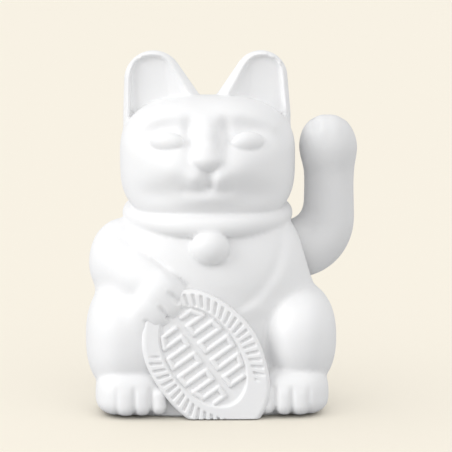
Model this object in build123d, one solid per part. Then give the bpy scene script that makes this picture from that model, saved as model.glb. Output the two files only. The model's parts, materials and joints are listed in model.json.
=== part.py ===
"""Battery-driven beckoning cat: a hollow two-part figurine on a base plate, with one arm that waves.

Frame: millimetres, +Z up, the cat faces -Y and its raised arm is on the +X side.
The origin is the centre of the base plate's underside, which is what the cat stands on.
"""

from build123d import *
import math
import os

# ---------------------------------------------------------------- driving dimensions
HEIGHT = 150.0  # floor to ear tips
WALL = 2.0  # moulded shell thickness
RIM_Z = 1.0  # lower rim of the shells above the floor
SEAM_Y = 2.0  # parting plane of the two shells, through the arm's pivot
PIVOT_Z = 65.0  # height of the arm's axis
LOWER_X = 1.2  # the lower body sits slightly towards the raised arm

HEAD_CENTRE = (0.0, -1.5, 107.5)
HEAD_RADII = (37.0, 32.5, 26.0)
EAR_RADII = (16.3, 8.5, 30.0)
EAR_X = 21.2
EAR_TILT = 5.0  # degrees, tips lean outwards

BASE_HALF_X = 42.7
BASE_HALF_Y = 33.7
BASE_THICK = 2.5
BASE_SQUARE = 2.8  # exponent of the base outline

COLLAR_RADIUS = 31.6
COLLAR_TUBE = 4.0
BELL_CENTRE = (0.0, -32.0, 70.5)
BELL_RADII = (7.9, 6.8, 7.4)

COIN_CENTRE = (-1.5, 24.3)  # x and z
COIN_LONG = 33.4
COIN_SHORT = 23.0
COIN_TURN = 35.5  # degrees, top leans towards the holding paw
COIN_FRONT_Y = -41.5
COIN_THICK = 8.0
COIN_FIELD_DEPTH = 1.2

POCKET_R = 15.0  # round recess in the side that the arm's root turns in
POCKET_FLOOR_X = 31.0
SHAFT_R = 1.5
SHAFT_HOLE_R = 2.6

ROOT_FACE_X = 31.8
ARM_R = 10.4
BEND_X = 38.1  # where the elbow bend starts
BEND_R = 13.1  # of the arm's centre line
PAW_CENTRE = (51.9, 0.2, 111.0)
PAW_RADII = (11.8, 10.6, 12.4)
ARM_WALL = 1.6

CHEEK_THICK = 2.0
CHEEK_LEFT_X = 7.5  # outer face of the left bearing cheek
CHEEK_RIGHT_X = 25.5  # inner face of the right bearing cheek
CHEEK_TOP_Z = 73.5
CHEEK_Y = (-4.0, 8.0)
LEVER_X = 17.5
MAGNET_R = 7.0
MAGNET_Z = (20.5, 25.5)
MAGNET_Y = SEAM_Y + 0.25  # offset that hangs the arm plumb

BOARD_Z = 7.0
BOARD_THICK = 1.2
BOARD_TOP_Z = BOARD_Z + BOARD_THICK
BOARD_X = (10.3, 24.7)
BOARD_Y = (-26.0, 9.0)
BOARD_POSTS = [(12.6, -23.5), (22.4, -23.5)]
BOBBIN_R = 7.0
BOBBIN_TOP_Z = 18.6
LEAD_R = 0.55
BATTERY_R = 7.25
BATTERY_LENGTH = 49.2
BATTERY_Y = 19.0
BATTERY_Z = 9.9
BAY_HALF_X = 29.5  # inside
BAY_HALF_Y = 7.7
BAY_WALL = 1.2
BAY_TOP_Z = 18.0
DOOR_GAP = 0.3
DOOR_Z = (0.4, 2.0)
DOOR_HALF_X = 27.0
DOOR_KNUCKLE_R = 0.8
DOOR_PIN_R = 0.6

SWITCH_X = -21.0
SWITCH_Y = -14.0
SWITCH_TRAVEL = 3.0
PIN_TOP_Z = 10.5

SCREW_PLACES = [(-34.0, -21.0), (34.0, -21.0), (-36.0, 19.0), (36.0, 19.0)]
FRAME_SCREW_X = (4.5, 30.5)
SCREW_R = 1.3
SCREW_HEAD_R = 2.6
RUNNING_GAP = 0.05


# ---------------------------------------------------------------- small helpers
def ellipsoid(centre, radii, turn=(0, 0, 0)):
    """A scaled sphere, turned by degrees about X, Y and Z. Its seam is kept clear of other seams."""
    ball = Rot(0, 0, 50) * Sphere(1)
    return Pos(*centre) * Rot(*turn) * scale(ball, by=radii)


def outline(z, centre_x, half_x, front_y, back_y, square=2.5, points=20):
    """A flat face at height z with a rounded-square (superellipse) outline."""
    centre_y = (front_y + back_y) / 2
    half_y = (back_y - front_y) / 2
    corners = []
    for i in range(points):
        turn = 2 * math.pi * i / points
        c, s = math.cos(turn), math.sin(turn)
        x = centre_x + half_x * math.copysign(abs(c) ** (2 / square), c)
        y = centre_y + half_y * math.copysign(abs(s) ** (2 / square), s)
        corners.append(Vector(x, y, z))
    return Face(Wire([Edge.make_spline(corners, periodic=True)]))


def tapered_capsule(start, start_r, end, end_r):
    """Two balls joined by their common cone."""
    a, b = Vector(*start), Vector(*end)
    axis = b - a
    along = axis.length
    lean = math.asin((start_r - end_r) / along)
    profile = Plane(origin=a, z_dir=axis.normalized())
    cone_low = start_r * math.sin(lean)
    cone_high = along + end_r * math.sin(lean)
    cone = Pos(0, 0, (cone_low + cone_high) / 2) * Cone(
        start_r * math.cos(lean), end_r * math.cos(lean), cone_high - cone_low
    )
    return Pos(*start) * Sphere(start_r) + profile.location * cone + Pos(*end) * Sphere(end_r)


def rod_x(x0, x1, y, z, radius):
    """A cylinder along X."""
    return Pos((x0 + x1) / 2, y, z) * Rot(0, 90, 0) * Cylinder(radius, x1 - x0)


def rod_z(x, y, z0, z1, radius):
    """A cylinder along Z."""
    return Pos(x, y, (z0 + z1) / 2) * Cylinder(radius, z1 - z0)


def block(x0, x1, y0, y1, z0, z1):
    """A box from its limits."""
    return Pos((x0 + x1) / 2, (y0 + y1) / 2, (z0 + z1) / 2) * Box(x1 - x0, y1 - y0, z1 - z0)


def wire_tube(points, radius, bends):
    """A lead along straight runs joined by arcs."""
    path = FilletPolyline(*[Vector(*p) for p in points], radius=bends)
    start = Plane(origin=path @ 0, z_dir=path % 0)
    return sweep(start * Circle(radius), path=path)


# ---------------------------------------------------------------- body shells
TORSO_LEVELS = [  # z, centre x, half width, front y, back y, squareness
    (RIM_Z, LOWER_X, 45.0, -36.0, 36.0, 2.8),
    (8.0, LOWER_X, 46.8, -37.0, 37.0, 2.8),
    (20.0, LOWER_X, 48.3, -35.0, 38.5, 2.7),
    (33.0, LOWER_X, 49.0, -34.0, 39.0, 2.6),
    (46.0, 1.0, 46.5, -35.0, 37.0, 2.5),
    (56.0, 0.7, 43.5, -35.5, 34.5, 2.4),
    (66.0, 0.4, 41.0, -34.0, 31.0, 2.4),
    (75.0, 0.0, 37.3, -31.5, 28.0, 2.3),
    (84.0, 0.0, 31.0, -28.0, 25.0, 2.2),
    (91.0, 0.0, 27.0, -24.5, 21.5, 2.1),
]


def torso(inset):
    """The belly and back, lofted through its levels, each drawn in by inset."""
    faces = []
    for z, centre_x, half_x, front_y, back_y, square in TORSO_LEVELS:
        level = z
        if inset and z == RIM_Z:
            level = -1.0
        elif inset and z == TORSO_LEVELS[-1][0]:
            level = z + WALL
        faces.append(outline(level, centre_x, half_x - inset, front_y + inset, back_y - inset, square))
    return loft(faces)


def head(inset):
    """The head as one rounded block."""
    return ellipsoid(HEAD_CENTRE, tuple(r - inset for r in HEAD_RADII))


def cheek(side, inset):
    """A full cheek, which squares the head's lower half."""
    return ellipsoid((side * 15.0, -5.0, 98.5), (21.6 - inset, 25.0 - inset, 16.0 - inset))


def face_relief():
    """Muzzle, nose, chin and blank eyes standing out of the head."""
    relief = ellipsoid((0, -29.5, 99.5), (16.0, 9.5, 8.5))
    relief += ellipsoid((0, -30.5, 92.0), (10.0, 7.5, 5.0))
    relief += ellipsoid((0, -32.5, 111.5), (5.0, 6.0, 11.5), (-12, 0, 0))
    for side in (-1, 1):
        relief += ellipsoid((side * 16.3, -28.0, 116.5), (7.4, 4.2, 3.9), (0, 0, side * 24))
    return relief


def ear(side):
    """One upright ear with a hollow front."""
    centre = (side * EAR_X, 2.5, HEIGHT - EAR_RADII[2] + 0.3)
    body = ellipsoid(centre, EAR_RADII, (0, side * EAR_TILT, 0))
    scoop_centre = (side * (EAR_X + 0.6), -7.0, HEIGHT - EAR_RADII[2] - 1.0)
    scoop = ellipsoid(scoop_centre, (12.5, 8.5, 26.0), (0, side * EAR_TILT, 0))
    return body - scoop


def thigh(side, inset):
    centre = (LOWER_X + side * 37.3, -9.0, 30.0)
    return ellipsoid(centre, (15.8 - inset, 28.5 - inset, 24.0 - inset))


def hind_foot(side):
    """A flat foot with three toes at its front."""
    foot = ellipsoid((LOWER_X + side * 34.0, -20.0, 4.5), (15.5, 20.0, 11.0))
    for toe in range(3):
        toe_x = LOWER_X + side * (22.8 + 6.7 * toe)
        foot += ellipsoid((toe_x, -35.5, 5.5), (3.5, 5.2, 8.0))
    return foot


def holding_arm():
    """The lowered arm, from the shoulder to the paw that rests on the coin."""
    arm = tapered_capsule((-35.5, -3.0, 63.0), 14.6, (-20.0, -31.0, 49.0), 9.0)
    for finger in range(4):
        tip = (-10.5 - 4.9 * finger, -41.0, 50.0 - 4.2 * finger)
        knuckle = (tip[0] - 4.5, -36.0, tip[2] + 4.5)
        arm += tapered_capsule(knuckle, 3.6, tip, 2.9)
    return arm


def coin():
    """The large oval coin, with a sunk field that carries raised bars."""
    x, z = COIN_CENTRE
    face = Plane(origin=(x, COIN_FRONT_Y, z), x_dir=(1, 0, 0), z_dir=(0, -1, 0))
    turned = face * Rot(0, 0, COIN_TURN)
    disc = extrude(turned * Ellipse(COIN_SHORT, COIN_LONG), amount=-COIN_THICK)
    disc = chamfer(disc.edges().group_by(Axis.Y)[0], 1.5)
    field = extrude(turned * Ellipse(14.0, 24.0), amount=-COIN_FIELD_DEPTH)
    disc -= field
    for step in range(-3, 4):
        bar_half = 10.5 - abs(step) * 1.4
        bar = turned * Pos(0, step * 5.6) * SlotCenterToCenter(2 * bar_half - 4, 2.0)
        disc += extrude(bar, amount=-COIN_FIELD_DEPTH)
    return disc


def tail():
    """A short curled tail lying against the back."""
    root, bend, tip = (17.0, 33.0, 9.5), (0.0, 36.5, 12.0), (-13.0, 36.0, 25.0)
    return tapered_capsule(root, 5.4, bend, 5.5) + tapered_capsule(bend, 5.5, tip, 4.4)


def collar():
    ring = scale(Torus(COLLAR_RADIUS, COLLAR_TUBE), by=(1, 0.92, 1))
    return Pos(0, -1.0, 80.5) * Rot(4, 0, 0) * ring


def outer_body():
    """Everything the two shells show, as one solid."""
    body = torso(0) + head(0)
    for side in (-1, 1):
        body += cheek(side, 0)
        body += ear(side)
        body += thigh(side, 0)
        body += hind_foot(side)
    body += face_relief()
    body += collar()
    body += ellipsoid(BELL_CENTRE, BELL_RADII)
    body += holding_arm()
    body += coin()
    body += tail()
    return body & block(-80, 80, -80, 80, RIM_Z, HEIGHT + 1)


def cavity():
    """The room inside the shells, less the screw posts and the arm's side pocket."""
    room = torso(WALL) + head(WALL)
    for side in (-1, 1):
        room += cheek(side, WALL)
        room += thigh(side, WALL)
    room -= rod_x(POCKET_FLOOR_X - WALL, 60, SEAM_Y, PIVOT_Z, POCKET_R + WALL)
    for x, y in SCREW_PLACES:
        room -= boss(x, y)
    return room


def boss(x, y):
    """A screw post joined to the nearest side wall by a rib."""
    outward = x + math.copysign(16, x)
    post = rod_z(x, y, BASE_THICK, 16.0, 3.4)
    rib = block(min(x, outward), max(x, outward), y - 1.2, y + 1.2, BASE_THICK, 15.0)
    return post + rib


def shells():
    """The front and rear mouldings."""
    skin = outer_body() - cavity()
    skin -= rod_x(POCKET_FLOOR_X, 80, SEAM_Y, PIVOT_Z, POCKET_R)
    skin -= rod_x(POCKET_FLOOR_X - 2 * WALL, POCKET_FLOOR_X + 1, SEAM_Y, PIVOT_Z, SHAFT_HOLE_R)
    for x, y in SCREW_PLACES:
        skin -= rod_z(x, y, 0, 13.0, SCREW_R - 0.3)
    front = skin & block(-90, 90, -90, SEAM_Y, 0, 200)
    rear = skin & block(-90, 90, SEAM_Y, 90, 0, 200)
    return largest(front), largest(rear)


def largest(shape):
    """The biggest solid of a shape, without crumbs left by cutting."""
    return max(shape.solids(), key=lambda solid: solid.volume)


# ---------------------------------------------------------------- base
def base_plate():
    """The underside, with the battery bay, board posts and switch slot moulded in."""
    sheet = outline(0, LOWER_X, BASE_HALF_X, -BASE_HALF_Y, BASE_HALF_Y, BASE_SQUARE)
    plate = extrude(sheet, amount=BASE_THICK, dir=(0, 0, 1))
    bay_x, bay_y = BAY_HALF_X + BAY_WALL, BAY_HALF_Y + BAY_WALL
    plate += block(-bay_x, bay_x, BATTERY_Y - bay_y, BATTERY_Y + bay_y, BASE_THICK, BAY_TOP_Z + BAY_WALL)
    plate -= block(
        -BAY_HALF_X, BAY_HALF_X, BATTERY_Y - BAY_HALF_Y, BATTERY_Y + BAY_HALF_Y, DOOR_Z[1] + 0.2, BAY_TOP_Z
    )
    door_x = DOOR_HALF_X + DOOR_GAP
    door_y = BAY_HALF_Y + DOOR_GAP
    plate -= block(-door_x, door_x, BATTERY_Y - door_y, BATTERY_Y + door_y, -1, DOOR_Z[1] + 0.3)
    plate -= rod_z(0, BATTERY_Y - door_y, -1, 1.6, 5.0)
    hinge_y = BATTERY_Y + BAY_HALF_Y - DOOR_KNUCKLE_R
    pin_z = sum(DOOR_Z) / 2
    plate -= rod_x(-door_x - 1.6, door_x + 1.6, hinge_y, pin_z, DOOR_PIN_R + RUNNING_GAP)
    plate -= block(
        SWITCH_X - 4.2, SWITCH_X + 4.2, SWITCH_Y - 2.2, SWITCH_Y + 2.2, -1, BASE_THICK + 1
    )
    plate -= block(
        SWITCH_X - 6.0, SWITCH_X + 6.0, SWITCH_Y - 3.6, SWITCH_Y + 3.6, -1, 1.2
    )
    for x, y in BOARD_POSTS:
        plate += rod_z(x, y, BASE_THICK, BOARD_Z, 2.2)
        plate -= rod_z(x, y, BASE_THICK, BOARD_Z + 1, 0.8)
    for x, y in SCREW_PLACES:
        plate -= rod_z(x, y, -1, BASE_THICK + 1, SCREW_R + 0.2)
        plate -= rod_z(x, y, -1, 1.4, SCREW_HEAD_R + 0.3)
    for x in FRAME_SCREW_X:
        plate -= rod_z(x, SEAM_Y, 0.6, BASE_THICK + 1, 0.8)
    slot_y0, slot_y1 = BATTERY_Y - 2.4, BATTERY_Y + 2.4
    for x in (-BAY_HALF_X + 0.1, BAY_HALF_X - 0.7):
        plate -= block(x, x + 0.6, slot_y0, slot_y1, BAY_TOP_Z - 1, BAY_TOP_Z + 3)
    return largest(plate)


def battery_door():
    """A snap door: pins at its rear edge turn in the base plate, and a tab closes its front edge."""
    y0, y1 = BATTERY_Y - BAY_HALF_Y, BATTERY_Y + BAY_HALF_Y
    hinge_y = y1 - DOOR_KNUCKLE_R
    pin_z = sum(DOOR_Z) / 2
    door = block(-DOOR_HALF_X, DOOR_HALF_X, y0, hinge_y, *DOOR_Z)
    door += rod_x(-DOOR_HALF_X, DOOR_HALF_X, hinge_y, pin_z, DOOR_KNUCKLE_R)
    door += rod_x(-DOOR_HALF_X - 1.4, DOOR_HALF_X + 1.4, hinge_y, pin_z, DOOR_PIN_R)
    for rib in (-1, 0, 1):
        door -= block(-18, 18, BATTERY_Y + rib * 3.0 - 0.5, BATTERY_Y + rib * 3.0 + 0.5, 0, DOOR_Z[0] + 0.4)
    return door


def battery():
    """An AA cell lying across the cat."""
    half = BATTERY_LENGTH / 2
    can = rod_x(-half, half, BATTERY_Y, BATTERY_Z, BATTERY_R)
    can = fillet(can.edges().filter_by(GeomType.CIRCLE), 0.8)
    return can + rod_x(half, half + 1.3, BATTERY_Y, BATTERY_Z, 2.75)


def negative_spring():
    """A coned wire spring on its contact plate, with a solder tab through the bay's roof."""
    plate_x = -BAY_HALF_X + 0.15
    wire_r, step_x = 0.35, 1.2
    coil_radii = (5.0, 4.3, 3.6, 2.9)
    coil_x = [plate_x + 0.4 + wire_r - 0.05 + step_x * i for i in range(len(coil_radii))]
    spring = contact_plate(plate_x)
    for x, radius in zip(coil_x, coil_radii):
        spring += Pos(x, BATTERY_Y, BATTERY_Z) * Rot(0, 90, 0) * Torus(radius, wire_r)
    for i in range(len(coil_radii) - 1):
        side = 1 if i % 2 else -1
        start = (coil_x[i], BATTERY_Y, BATTERY_Z + side * coil_radii[i])
        end = (coil_x[i + 1], BATTERY_Y, BATTERY_Z + side * coil_radii[i + 1])
        spring += tapered_capsule(start, wire_r + 0.08, end, wire_r + 0.05)
    return spring


def contact_plate(x):
    """A thin plate at one end of the bay, with its solder tab."""
    plate = block(x, x + 0.4, BATTERY_Y - 5, BATTERY_Y + 5, 4.5, BAY_TOP_Z - 0.5)
    return plate + block(x, x + 0.4, BATTERY_Y - 2, BATTERY_Y + 2, BAY_TOP_Z - 0.5, BAY_TOP_Z + 4)


def positive_contact():
    """The plate at the cell's positive end, with a raised centre that meets the nub."""
    x = BAY_HALF_X - 0.55
    nub_end = BATTERY_LENGTH / 2 + 1.3
    return contact_plate(x) + rod_x(nub_end, x, BATTERY_Y, BATTERY_Z, 2.0)


# ---------------------------------------------------------------- electronics
def circuit_board():
    """A narrow board that reaches under the swinging magnet."""
    board = block(*BOARD_X, *BOARD_Y, BOARD_Z, BOARD_Z + BOARD_THICK)
    for x, y in BOARD_POSTS:
        board -= rod_z(x, y, 0, 20, 1.1)
    return board


def coil_bobbin():
    """A flanged reel on the board, under the magnet."""
    low = BOARD_TOP_Z
    bobbin = rod_z(LEVER_X, SEAM_Y, low, low + 1.0, BOBBIN_R)
    bobbin += rod_z(LEVER_X, SEAM_Y, low, BOBBIN_TOP_Z, 2.8)
    bobbin += rod_z(LEVER_X, SEAM_Y, BOBBIN_TOP_Z - 1.0, BOBBIN_TOP_Z, BOBBIN_R)
    return bobbin - rod_z(LEVER_X, SEAM_Y, low - 1, BOBBIN_TOP_Z + 1, 1.6)


def drive_coil():
    """The copper winding on the bobbin."""
    low, high = BOARD_TOP_Z + 1.0, BOBBIN_TOP_Z - 1.0
    return rod_z(LEVER_X, SEAM_Y, low, high, 6.3) - rod_z(LEVER_X, SEAM_Y, low - 1, high + 1, 2.8)


def driver_chip():
    """The sealed drop of resin over the driver circuit."""
    drop = ellipsoid((LEVER_X - 2.5, -10.5, BOARD_TOP_Z), (3.2, 3.2, 1.7))
    return drop & block(0, 40, -30, 0, BOARD_TOP_Z, BOARD_TOP_Z + 5)


def capacitor():
    """An upright can capacitor with a grooved foot."""
    x, y, low = LEVER_X + 1.5, -17.5, BOARD_TOP_Z
    can = rod_z(x, y, low, low + 8.0, 2.5)
    can = fillet(can.edges().group_by(Axis.Z)[-1], 0.4)
    groove = rod_z(x, y, low + 1.0, low + 1.6, 3.0) - rod_z(x, y, low, low + 3.0, 2.25)
    return can - groove


def resistors():
    """Two small resistors lying on the board."""
    barrel_z = BOARD_TOP_Z + 0.9
    barrels = [rod_x(LEVER_X + 0.9, LEVER_X + 4.5, y, barrel_z, 0.85) for y in (-13.8, -6.0)]
    return Compound(children=[largest(barrel) for barrel in barrels])


def switch_body():
    """The slide switch's case, standing on the base plate."""
    half_x, half_y = 5.5, 3.2
    room_x, room_y = 4.2, 1.9
    case = block(
        SWITCH_X - half_x, SWITCH_X + half_x, SWITCH_Y - half_y, SWITCH_Y + half_y, BASE_THICK, BASE_THICK + 5.0
    )
    case -= block(
        SWITCH_X - room_x, SWITCH_X + room_x, SWITCH_Y - room_y, SWITCH_Y + room_y, 0, BASE_THICK + 3.0
    )
    for step in (-1, 0, 1):
        case += block(
            SWITCH_X + step * 2.5 - 0.35, SWITCH_X + step * 2.5 + 0.35,
            SWITCH_Y - 0.8, SWITCH_Y + 0.8, BASE_THICK + 5.0, PIN_TOP_Z,
        )
    return case


def switch_knob():
    """The part of the switch that a fingernail moves, ribbed underneath."""
    left = SWITCH_X - SWITCH_TRAVEL / 2
    knob = block(left - 1.6, left + 1.6, SWITCH_Y - 1.6, SWITCH_Y + 1.6, 0.5, BASE_THICK + 2.6)
    for step in (-1, 0, 1):
        groove_x = left + step * 0.9
        knob -= block(groove_x - 0.15, groove_x + 0.15, SWITCH_Y - 2, SWITCH_Y + 2, 0, 0.8)
    return knob


def lead_positive():
    """Red lead, from the positive contact round behind the bay to the switch."""
    tab = (BAY_HALF_X - 0.35, BATTERY_Y, BAY_TOP_Z + 4.0)
    pin_x = SWITCH_X - 2.5
    points = [
        tab, (tab[0], BATTERY_Y, 25.0), (tab[0], 30.6, 24.0), (26.0, 30.8, 13.0), (-4.0, 30.8, 13.0),
        (-9.0, 30.4, 21.5), (-15.0, 23.0, 23.0), (-18.0, 4.0, 21.5), (pin_x, -8.0, 16.0),
        (pin_x, SWITCH_Y, 15.0), (pin_x, SWITCH_Y, PIN_TOP_Z),
    ]
    return wire_tube(points, LEAD_R, [1.8, 4.0, 4.0, 3.5, 3.5, 5.0, 5.0, 2.5, 1.7])


def lead_negative():
    """Black lead, from the negative contact over the bay to the board."""
    tab = (-BAY_HALF_X + 0.35, BATTERY_Y, BAY_TOP_Z + 4.0)
    pad = (12.2, -15.8)
    points = [
        tab, (tab[0], BATTERY_Y, 26.0), (-20.0, 8.0, 25.0), (-5.0, -7.0, 16.0), (4.0, -13.0, 13.5),
        (*pad, 12.7), (*pad, BOARD_TOP_Z),
    ]
    return wire_tube(points, LEAD_R, [2.0, 5.0, 4.0, 3.0, 1.7])


def lead_switch():
    """Yellow lead, from the switch to the board."""
    pad = (12.4, -20.0)
    points = [
        (SWITCH_X, SWITCH_Y, PIN_TOP_Z), (SWITCH_X, SWITCH_Y, 15.5), (-11.0, -21.0, 14.5),
        (2.0, -23.5, 12.5), (*pad, 12.7), (*pad, BOARD_TOP_Z),
    ]
    return wire_tube(points, LEAD_R, [2.0, 4.0, 4.0, 1.7])


# ---------------------------------------------------------------- waving mechanism
def mechanism_frame():
    """Two bearing cheeks joined over the shaft, with a foot on each side."""
    y0, y1 = CHEEK_Y
    left0, left1 = CHEEK_LEFT_X, CHEEK_LEFT_X + CHEEK_THICK
    right0, right1 = CHEEK_RIGHT_X, CHEEK_RIGHT_X + CHEEK_THICK
    frame = block(left0, left1, y0, y1, BASE_THICK, CHEEK_TOP_Z)
    frame += block(right0, right1, y0, y1, BASE_THICK, CHEEK_TOP_Z)
    frame += block(left0, right1, y0 + 2, y1 - 2, CHEEK_TOP_Z - 2.0, CHEEK_TOP_Z)
    frame += block(left0 - 6, left1, y0, y1, BASE_THICK, BASE_THICK + 2)
    frame += block(right0, right1 + 6, y0, y1, BASE_THICK, BASE_THICK + 2)
    for y in (y0, y1 - 1.5):
        for x_foot, x_cheek in ((left0 - 5.5, left0), (right1 + 5.5, right1)):
            rib = Polyline((x_foot, BASE_THICK + 2), (x_cheek, BASE_THICK + 2), (x_cheek, 26), close=True)
            rib_face = make_face(Plane(origin=(0, y, 0), x_dir=(1, 0, 0), z_dir=(0, -1, 0)) * rib)
            frame += extrude(rib_face, amount=1.5, dir=(0, 1, 0))
    frame -= rod_x(left0 - 1, right1 + 1, SEAM_Y, PIVOT_Z, SHAFT_R + RUNNING_GAP)
    for z in (34.0, 48.0):
        frame -= rod_x(left0 - 1, right1 + 1, SEAM_Y, z, 3.2)
    for x in FRAME_SCREW_X:
        frame -= rod_z(x, SEAM_Y, 0, 6, 1.1)
    return frame


def pivot_shaft():
    """The steel shaft that carries the arm and the lever."""
    shaft = rod_x(4.8, 43.0, SEAM_Y, PIVOT_Z, SHAFT_R)
    return chamfer(shaft.edges().filter_by(GeomType.CIRCLE), 0.3)


def shaft_clips():
    """Spring washers outside the cheeks that keep the shaft in place."""
    clips = []
    for x in (CHEEK_LEFT_X - 1.1, CHEEK_RIGHT_X + CHEEK_THICK + 0.3):
        ring = rod_x(x, x + 0.8, SEAM_Y, PIVOT_Z, 3.2) - rod_x(x - 1, x + 2, SEAM_Y, PIVOT_Z, SHAFT_R)
        ring -= block(x - 1, x + 2, SEAM_Y - 0.6, SEAM_Y + 0.6, PIVOT_Z, PIVOT_Z + 5)
        clips.append(largest(ring))
    return Compound(children=clips)


def pendulum_lever():
    """The lever inside the cat, with a hub on the shaft and a seat for the magnet."""
    seat_z = MAGNET_Z[1]
    lever = block(LEVER_X - 1.3, LEVER_X + 1.3, SEAM_Y - 3.2, SEAM_Y + 3.2, seat_z + 1, PIVOT_Z)
    lever += rod_x(LEVER_X - 5.5, LEVER_X + 5.5, SEAM_Y, PIVOT_Z, 4.2)
    lever += rod_z(LEVER_X, MAGNET_Y, seat_z, seat_z + 1.6, MAGNET_R)
    lever -= rod_x(LEVER_X - 8, LEVER_X + 8, SEAM_Y, PIVOT_Z, SHAFT_R)
    for z in (46.0, 54.0):
        lever -= rod_x(LEVER_X - 8, LEVER_X + 8, SEAM_Y, z, 1.6)
    return lever


def drive_magnet():
    """The disc magnet that the coil kicks."""
    magnet = rod_z(LEVER_X, MAGNET_Y, *MAGNET_Z, MAGNET_R)
    return chamfer(magnet.edges().filter_by(GeomType.CIRCLE), 0.4)


def balance_weight():
    """A slotted steel block clamped on the lever, which balances the arm."""
    weight = Pos(LEVER_X, MAGNET_Y, 33.0) * Box(11.0, 11.0, 9.0)
    weight = fillet(weight.edges().filter_by(Axis.Z), 2.0)
    return weight - block(LEVER_X - 1.3, LEVER_X + 1.3, SEAM_Y - 3.2, SEAM_Y + 3.2, 20, 60)


# ---------------------------------------------------------------- waving arm
def arm_body(inset):
    """The raised arm: root, elbow bend, forearm and rounded paw."""
    radius = ARM_R - inset
    start_x = ROOT_FACE_X - (1 if inset else 0)
    arm = rod_x(start_x, BEND_X, SEAM_Y, PIVOT_Z, radius)
    section = Plane(origin=(BEND_X, SEAM_Y, PIVOT_Z), z_dir=(1, 0, 0)) * Circle(radius)
    arm += revolve(section, Axis((BEND_X, SEAM_Y, PIVOT_Z + BEND_R), (0, -1, 0)), 90)
    low_z, high_z = PIVOT_Z + BEND_R, PAW_CENTRE[2] - 6.0
    forearm = Cone(radius, radius - 0.3, high_z - low_z)
    arm += Pos(BEND_X + BEND_R, SEAM_Y, (low_z + high_z) / 2) * forearm
    return arm + ellipsoid(PAW_CENTRE, tuple(r - inset for r in PAW_RADII))


def arm_shells():
    """The arm's front and rear mouldings, glued on the plane of the shaft."""
    outer = arm_body(0)
    room = arm_body(ARM_WALL)
    front = (outer & block(20, 90, -60, SEAM_Y, 40, 140)) - room
    rear = (outer & block(20, 90, SEAM_Y, 60, 40, 140)) - room
    return largest(front), largest(rear)


def arm_hub():
    """The plug that closes the arm's root and grips the shaft."""
    hub = rod_x(ROOT_FACE_X, ROOT_FACE_X + 2.5, SEAM_Y, PIVOT_Z, ARM_R - ARM_WALL - RUNNING_GAP)
    hub += rod_x(ROOT_FACE_X, 44.5, SEAM_Y, PIVOT_Z, 3.6)
    return hub - rod_x(ROOT_FACE_X - 1, 43.0, SEAM_Y, PIVOT_Z, SHAFT_R)


# ---------------------------------------------------------------- fasteners
def self_tapper(x, y, head_z, length, thread_r, head_r, upwards):
    """A pan-head screw; its head's outer face is at head_z and it points up or down."""
    way = 1 if upwards else -1
    top = rod_z(x, y, min(head_z, head_z + way * 1.1), max(head_z, head_z + way * 1.1), head_r)
    shank_end = head_z + way * length
    screw = top + rod_z(x, y, min(head_z, shank_end), max(head_z, shank_end), thread_r)
    for turn in (0, 90):
        slot = Pos(x, y, head_z) * Rot(0, 0, turn) * Box(head_r * 1.2, 0.5, 1.0)
        screw -= slot
    return largest(screw)


def screw_set(places, **kind):
    return Compound(children=[self_tapper(x, y, **kind) for x, y in places])


def build_parts():
    """Every sub-part by node name."""
    front, rear = shells()
    arm_front, arm_rear = arm_shells()
    return {
        "front_shell": front,
        "rear_shell": rear,
        "base_plate": base_plate(),
        "base_screws": screw_set(
            SCREW_PLACES, head_z=0.3, length=11.0, thread_r=SCREW_R - 0.3, head_r=SCREW_HEAD_R, upwards=True
        ),
        "battery_door": battery_door(),
        "battery": battery(),
        "negative_spring": negative_spring(),
        "positive_contact": positive_contact(),
        "circuit_board": circuit_board(),
        "board_screws": screw_set(
            BOARD_POSTS, head_z=BOARD_TOP_Z + 1.1, length=5.0, thread_r=0.8, head_r=1.7, upwards=False
        ),
        "coil_bobbin": coil_bobbin(),
        "drive_coil": drive_coil(),
        "driver_chip": driver_chip(),
        "capacitor": capacitor(),
        "resistors": resistors(),
        "switch_body": switch_body(),
        "switch_knob": switch_knob(),
        "lead_positive": lead_positive(),
        "lead_negative": lead_negative(),
        "lead_switch": lead_switch(),
        "mechanism_frame": mechanism_frame(),
        "frame_screws": screw_set(
            [(x, SEAM_Y) for x in FRAME_SCREW_X],
            head_z=BASE_THICK + 3.1, length=4.6, thread_r=0.8, head_r=1.7, upwards=False,
        ),
        "pivot_shaft": pivot_shaft(),
        "shaft_clips": shaft_clips(),
        "pendulum_lever": pendulum_lever(),
        "drive_magnet": drive_magnet(),
        "balance_weight": balance_weight(),
        "arm_hub": arm_hub(),
        "arm_front_shell": arm_front,
        "arm_rear_shell": arm_rear,
    }


os.makedirs("parts", exist_ok=True)
for name, shape in build_parts().items():
    export_step(shape, f"parts/{name}.step")
    print(name, round(shape.volume), "mm3")
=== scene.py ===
import math

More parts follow.
